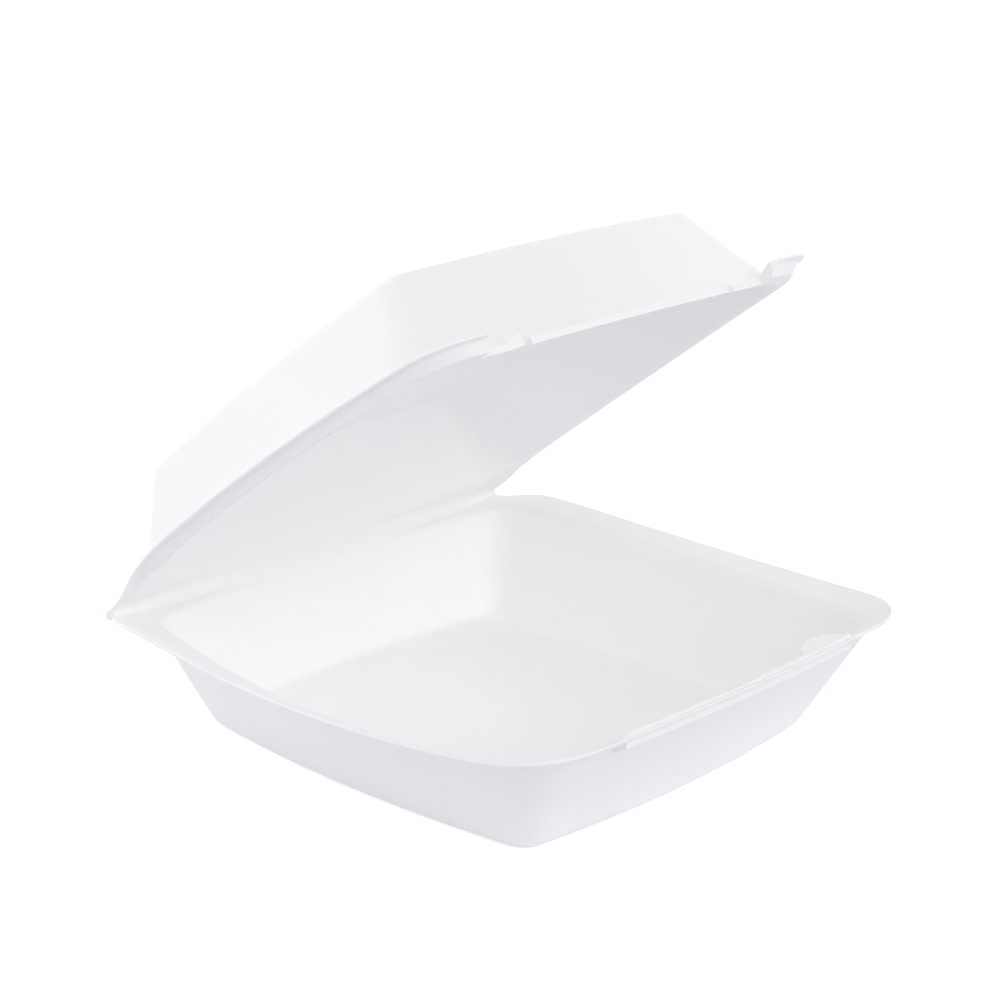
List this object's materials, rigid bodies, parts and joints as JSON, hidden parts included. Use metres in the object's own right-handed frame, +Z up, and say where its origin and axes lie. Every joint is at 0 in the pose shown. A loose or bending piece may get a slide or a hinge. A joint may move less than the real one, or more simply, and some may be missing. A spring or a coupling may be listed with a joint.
{
  "type": "hinged foam food container",
  "caption": "Square white foam clamshell food container with a domed lid hinged at the back, front ears on the lid and locking ledges in the tray",
  "frame": {"origin": "under the middle of the tray, on the face that it stands on", "axes": "+X to the right seen from the front, +Y from the front edge towards the hinge, +Z up"},
  "size_m": [0.2288, 0.2255, 0.1869],
  "materials": {
    "foam_tray": "smooth white foam skin, soft sheen",
    "foam_lid": "smooth white foam skin, soft sheen"
  },
  "bodies": {
    "tray": {"tray": "foam_tray"},
    "lid": {"lid": "foam_lid"}
  },
  "joints": [
    {"name": "lid_hinge", "type": "hinge", "parent": "tray", "child": "lid", "pos_m": [0, 0.104, 0.0435], "axis": [-1, 0, 0], "range_deg": [-36.7, 143.3]}
  ]
}
